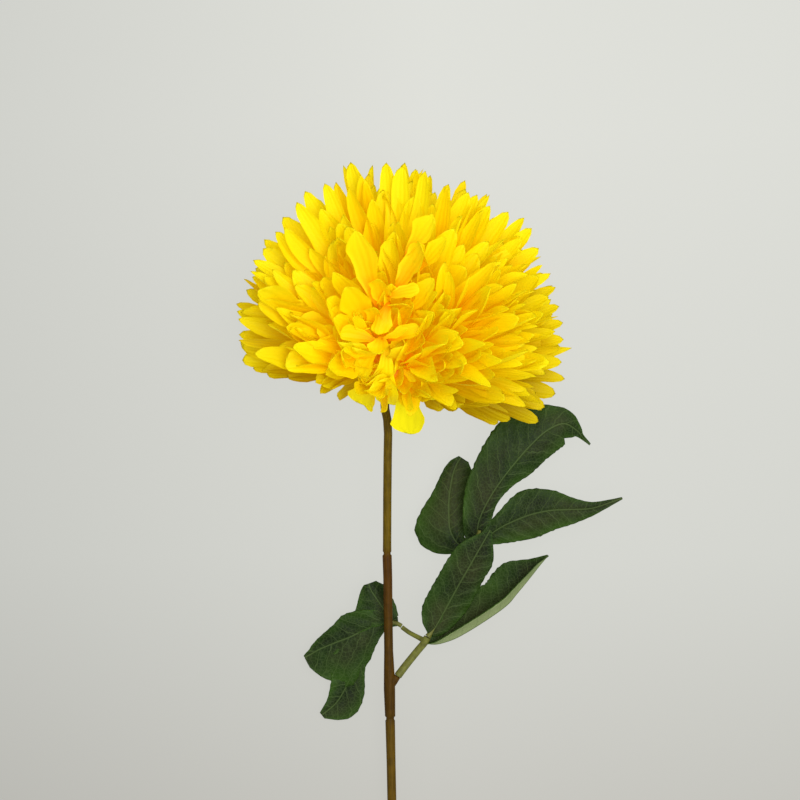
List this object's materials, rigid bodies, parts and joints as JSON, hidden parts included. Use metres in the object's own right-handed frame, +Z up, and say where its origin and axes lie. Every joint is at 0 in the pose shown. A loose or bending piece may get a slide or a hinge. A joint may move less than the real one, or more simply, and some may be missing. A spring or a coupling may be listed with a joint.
{
  "type": "pompon chrysanthemum",
  "caption": "Cut pompon chrysanthemum with a full domed bloom on a long bare stem and one side shoot of lobed leaves, lying on its side.",
  "frame": {"origin": "middle of the underside of the bounding box, on the surface the flower lies on", "axes": "+X to the flower's right, +Y along the stem towards the bloom, +Z up from the surface, the way the bloom's whorl looks"},
  "size_m": [0.1804, 0.3698, 0.1006],
  "materials": {
    "floret": "matt yellow",
    "calyx": "matt green",
    "stem": "olive brown, satin",
    "stalk": "yellow green, satin",
    "leaf": "dark green, satin"
  },
  "bodies": {
    "root": {"bloom": "floret", "calyx": "calyx", "stem": "stem", "leaf_branch": "stalk", "leaf_left": "leaf", "leaf_lower": "leaf", "leaf_upper": "leaf"}
  },
  "joints": []
}
